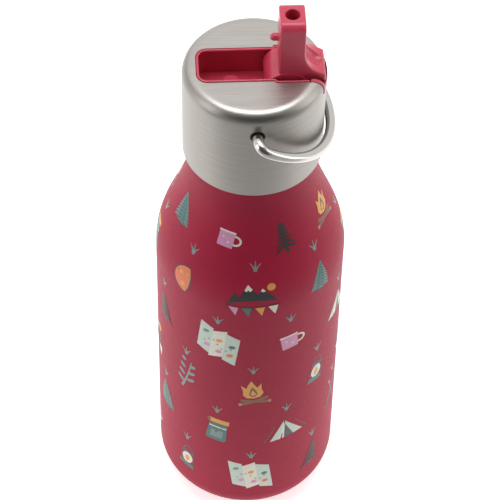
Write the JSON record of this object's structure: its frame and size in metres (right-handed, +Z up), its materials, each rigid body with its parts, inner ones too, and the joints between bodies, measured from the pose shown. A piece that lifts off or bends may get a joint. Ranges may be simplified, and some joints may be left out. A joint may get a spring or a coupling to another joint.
{
  "type": "insulated water bottle",
  "caption": "Double-wall steel drinking bottle with a screw cap, a folding spout in a tray across the cap's top, an inner straw and a swinging carry ring.",
  "frame": {"origin": "centre of the base's underside, on the bottle's axis", "axes": "+Z up along the bottle, +X towards the spout's hinge side, Y along the spout's and the ring's pivot lines"},
  "size_m": [0.065, 0.065, 0.2305],
  "materials": {
    "powder_coat": "fine-textured satin powder coat with printed camping motifs",
    "brushed_steel": "brushed",
    "polished_steel": "polished",
    "spout_plastic": "semi-gloss moulded",
    "liner_plastic": "moulded",
    "silicone": "matt silicone",
    "straw_plastic": "milky clear tube"
  },
  "bodies": {
    "bottle": {"outer_shell": "powder_coat", "outer_base": "powder_coat", "base_cover_disc": "powder_coat", "inner_vessel": "brushed_steel", "vacuum_seal_plug": "brushed_steel", "getter": "brushed_steel"},
    "gasket": {"cap_gasket": "silicone"},
    "cap": {"cap_shell": "brushed_steel", "cap_tray": "spout_plastic", "threaded_liner": "liner_plastic", "straw_socket": "liner_plastic", "ring_bushing_front": "liner_plastic", "ring_bushing_back": "liner_plastic", "spout_seal": "silicone", "vent_grommet": "silicone", "straw": "straw_plastic", "hinge_pin": "polished_steel"},
    "spout": {"drinking_spout": "spout_plastic"},
    "ring": {"carry_ring": "polished_steel"}
  },
  "joints": [
    {"name": "cap_lift", "type": "slide", "parent": "bottle", "child": "gasket", "axis": [0, 0, 1], "range_m": [0, 0.00605]},
    {"name": "cap_turn", "type": "hinge", "parent": "gasket", "child": "cap", "pos_m": [0, 0, 0.19], "axis": [0, 0, 1], "range_deg": [0, 540]},
    {"name": "spout_flip", "type": "hinge", "parent": "cap", "child": "spout", "pos_m": [0.0102, 0, 0.2034], "axis": [0, -1, 0], "range_deg": [0, 90]},
    {"name": "ring_swing", "type": "hinge", "parent": "cap", "child": "ring", "pos_m": [0, 0, 0.20015], "axis": [0, -1, 0], "range_deg": [0, 88]}
  ],
  "couplings": [
    {"joint": "cap_lift", "follows": "cap_turn", "m_per_rad": 0.00063662}
  ]
}
